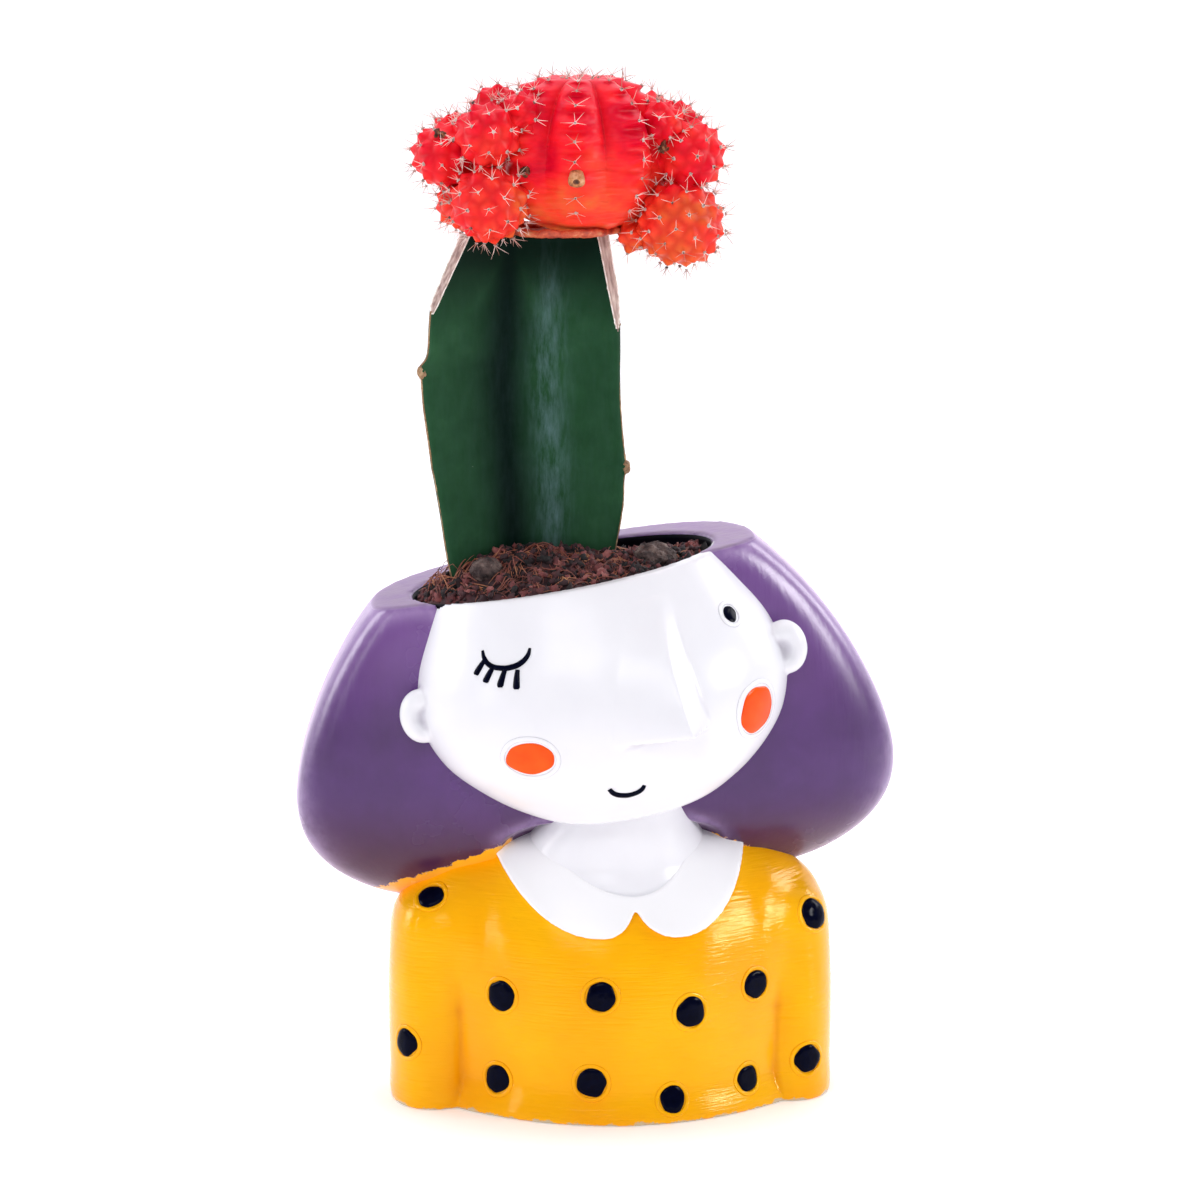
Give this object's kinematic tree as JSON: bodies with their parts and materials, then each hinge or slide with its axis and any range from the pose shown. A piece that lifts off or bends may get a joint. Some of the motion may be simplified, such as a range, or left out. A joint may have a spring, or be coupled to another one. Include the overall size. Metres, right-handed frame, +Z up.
{
  "type": "potted moon cactus",
  "caption": "Red moon cactus grafted on a green winged stem, planted in a hollow resin planter shaped like a doll's bust with bobbed hair.",
  "frame": {"origin": "centre of the pot's flat base, on the face it stands on", "axes": "+Z up through the plant, -Y towards the doll's front, +X to the doll's left"},
  "size_m": [0.1209, 0.0797, 0.209],
  "materials": {
    "painted_resin": "hand-painted cast resin, clear gloss coat; white face, neck and collar",
    "hair_paint": "satin purple paint on cast resin",
    "sweater_paint": "glossy yellow-orange paint on cast resin",
    "dark_paint": "glossy blue-black enamel, brushed on in thick dabs",
    "cheek_paint": "glossy orange paint",
    "peat_and_coir": "matt, crumbly peat and coir",
    "pumice": "matt, pitted",
    "stem_skin": "waxy green skin with corky margins; stands in for living cactus tissue",
    "scion_skin": "fleshy translucent red skin; stands in for living cactus tissue",
    "spines": "dry pale spines with brown tips; stands in for cactus spines"
  },
  "bodies": {
    "root": {"bust_pot": "painted_resin", "potting_mix": "peat_and_coir", "pumice_lump_left": "pumice", "pumice_lump_right": "pumice", "grafted_stem": "stem_skin", "scion_with_offsets": "scion_skin"}
  },
  "joints": []
}
